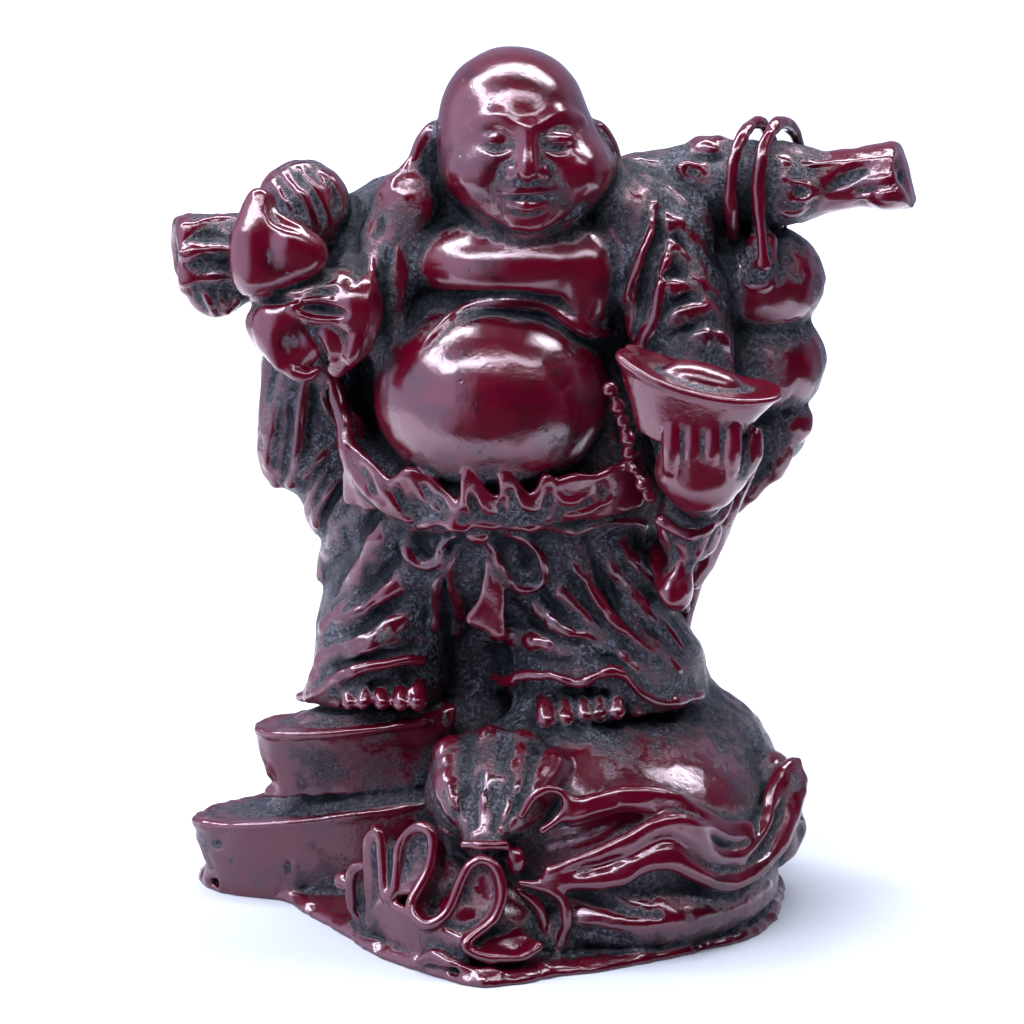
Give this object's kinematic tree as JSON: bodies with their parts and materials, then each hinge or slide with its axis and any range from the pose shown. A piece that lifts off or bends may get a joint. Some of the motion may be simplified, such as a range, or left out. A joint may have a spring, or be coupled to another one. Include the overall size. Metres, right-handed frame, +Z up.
{
  "type": "wealth buddha statuette",
  "caption": "Small standing buddha cast in glossy dark red resin: bare belly, branch over the shoulders, ingot in hand, feet on stacked ingots and a tied sack.",
  "frame": {"origin": "on the flat underside, below the middle of the standing figure", "axes": "+Z up through the figure, -Y the way the figure faces, +X toward the figure's left hand"},
  "size_m": [0.0842, 0.0531, 0.1],
  "materials": {
    "resin": "glossy dark crimson cast resin, with a black wash left in the hollows"
  },
  "bodies": {
    "root": {"statuette": "resin"}
  },
  "joints": []
}
